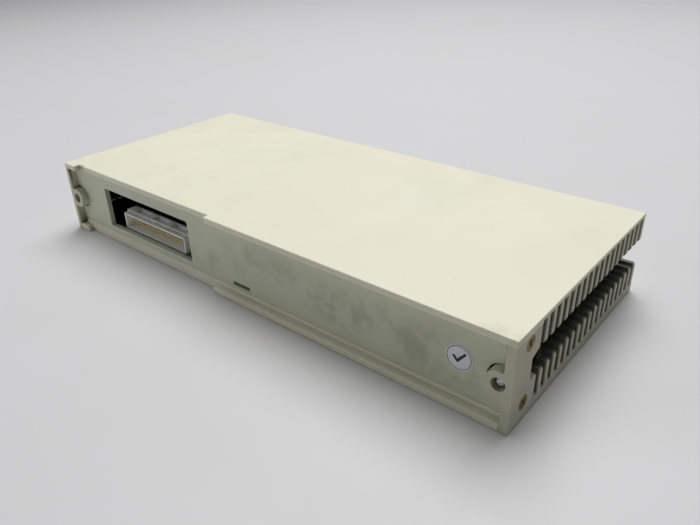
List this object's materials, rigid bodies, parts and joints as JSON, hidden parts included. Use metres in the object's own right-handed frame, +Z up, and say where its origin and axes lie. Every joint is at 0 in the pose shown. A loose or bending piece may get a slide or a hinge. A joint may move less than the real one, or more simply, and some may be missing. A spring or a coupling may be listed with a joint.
{
  "type": "plc module",
  "caption": "Flat cream rack module with a recessed rear panel, shrouded bus header, finned end caps, captive mounting screws and a hinged terminal door.",
  "frame": {"origin": "centre of the case's underside, as it lies on one broad side", "axes": "+X along the case from the bus connector end to the far end (the module's height in a rack), -Y to the rear that plugs onto the backplane, +Z up through the case's thickness"},
  "size_m": [0.25, 0.11, 0.036],
  "materials": {
    "case_cream": "fine moulded texture, yellowed",
    "frame_grey": "fine moulded texture",
    "brass": "yellow passivated, dull",
    "steel": "bright plated",
    "gilt": "gold plated",
    "board_green": "solder mask",
    "shroud_white": "glass filled nylon",
    "black_plastic": "moulded epoxy",
    "opto_white": "moulded epoxy",
    "resistor_brown": "dipped coating",
    "capacitor_sleeve": "shrunk sleeve",
    "heat_sink_black": "black anodised",
    "fuse_glass": "clear",
    "lamp_red": "diffused lens",
    "window_smoke": "tinted, polished",
    "sticker_white": "coated paper",
    "label_white": "plain paper"
  },
  "bodies": {
    "root": {"top_cover": "case_cream", "bottom_cover": "case_cream", "rear_panel": "case_cream", "left_end_cap": "case_cream", "right_end_cap": "case_cream", "end_cap_screws": "brass", "captive_bushes": "brass", "inspection_sticker": "sticker_white", "main_board": "board_green", "board_screws": "steel", "connector_shroud": "shroud_white", "connector_pins": "gilt", "logic_chips": "black_plastic", "optocouplers": "opto_white", "resistor_networks": "resistor_brown", "capacitors": "capacitor_sleeve", "heat_sink": "heat_sink_black", "power_transistors": "black_plastic", "transistor_tabs": "steel", "fuse_tube": "fuse_glass", "fuse_caps": "steel", "fuse_clips": "steel", "lamp_board": "board_green", "lamp_header": "gilt", "status_lamps": "lamp_red", "lamp_window": "window_smoke", "front_frame": "frame_grey", "terminal_block": "black_plastic", "terminal_tails": "steel", "terminal_clamps": "steel", "terminal_screws": "steel", "block_fixing_screws": "steel", "insulating_shield": "black_plastic", "shield_clips": "shroud_white", "door_hinge_pins": "steel"},
    "left_washer": {"left_screw_washer": "steel"},
    "right_washer": {"right_screw_washer": "steel"},
    "left_screw": {"left_mounting_screw": "steel"},
    "right_screw": {"right_mounting_screw": "steel"},
    "door": {"terminal_door": "case_cream", "wiring_label": "label_white"}
  },
  "joints": [
    {"name": "door_hinge", "type": "hinge", "parent": "root", "child": "door", "pos_m": [0.02, 0.053, 0.0284], "axis": [1, 0, 0], "range_deg": [0, 100]},
    {"name": "left_screw_slide", "type": "slide", "parent": "root", "child": "left_washer", "axis": [0, -1, 0], "range_m": [0, 0.0075]},
    {"name": "left_screw_turn", "type": "hinge", "parent": "left_washer", "child": "left_screw", "pos_m": [-0.12, -0.033, 0.018], "axis": [0, -1, 0], "continuous": true},
    {"name": "right_screw_slide", "type": "slide", "parent": "root", "child": "right_washer", "axis": [0, -1, 0], "range_m": [-0.001, 0.0065]},
    {"name": "right_screw_turn", "type": "hinge", "parent": "right_washer", "child": "right_screw", "pos_m": [0.12, -0.034, 0.018], "axis": [0, -1, 0], "continuous": true}
  ]
}
